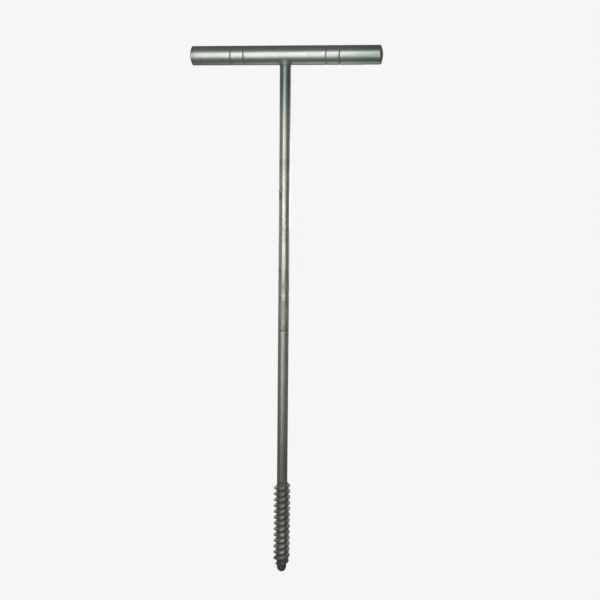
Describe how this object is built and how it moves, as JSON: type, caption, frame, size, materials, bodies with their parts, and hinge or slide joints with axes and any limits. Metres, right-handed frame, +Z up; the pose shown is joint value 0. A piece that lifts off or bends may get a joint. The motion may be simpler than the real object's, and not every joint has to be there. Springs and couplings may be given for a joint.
{
  "type": "soil auger",
  "caption": "Screw-type soil auger, all steel: a tubular T handle with grooved ends on a straight round shaft with a short coarse screw and a blunt nose at its foot.",
  "frame": {"origin": "the tip of the screw, on the shaft's axis", "axes": "+Z runs up the shaft from the tip to the handle, the handle lies along X, and Y is square to both"},
  "size_m": [0.346, 0.0336, 1],
  "materials": {
    "handle_steel": "satin plated steel, lightly scratched, brown in the V grooves",
    "cap_steel": "satin steel gone brown on the face",
    "shaft_steel": "satin plated steel with dull and rusty stains from handling",
    "weld_steel": "dressed weld, plated over",
    "screw_steel": "dull steel, dark with soil, bright on the crests of the thread",
    "inner_steel": "plain mill-finish steel, hidden"
  },
  "bodies": {
    "root": {"handle_core": "inner_steel", "hub_block": "inner_steel", "handle_centre_sleeve": "handle_steel", "handle_ring_left": "handle_steel", "handle_ring_right": "handle_steel", "handle_grip_left": "handle_steel", "handle_grip_right": "handle_steel", "end_cap_left": "cap_steel", "end_cap_right": "cap_steel", "handle_weld": "weld_steel", "shaft_upper": "shaft_steel", "shaft_joint_stud": "inner_steel", "shaft_lower": "shaft_steel", "screw_core": "screw_steel", "screw_thread": "screw_steel"}
  },
  "joints": []
}
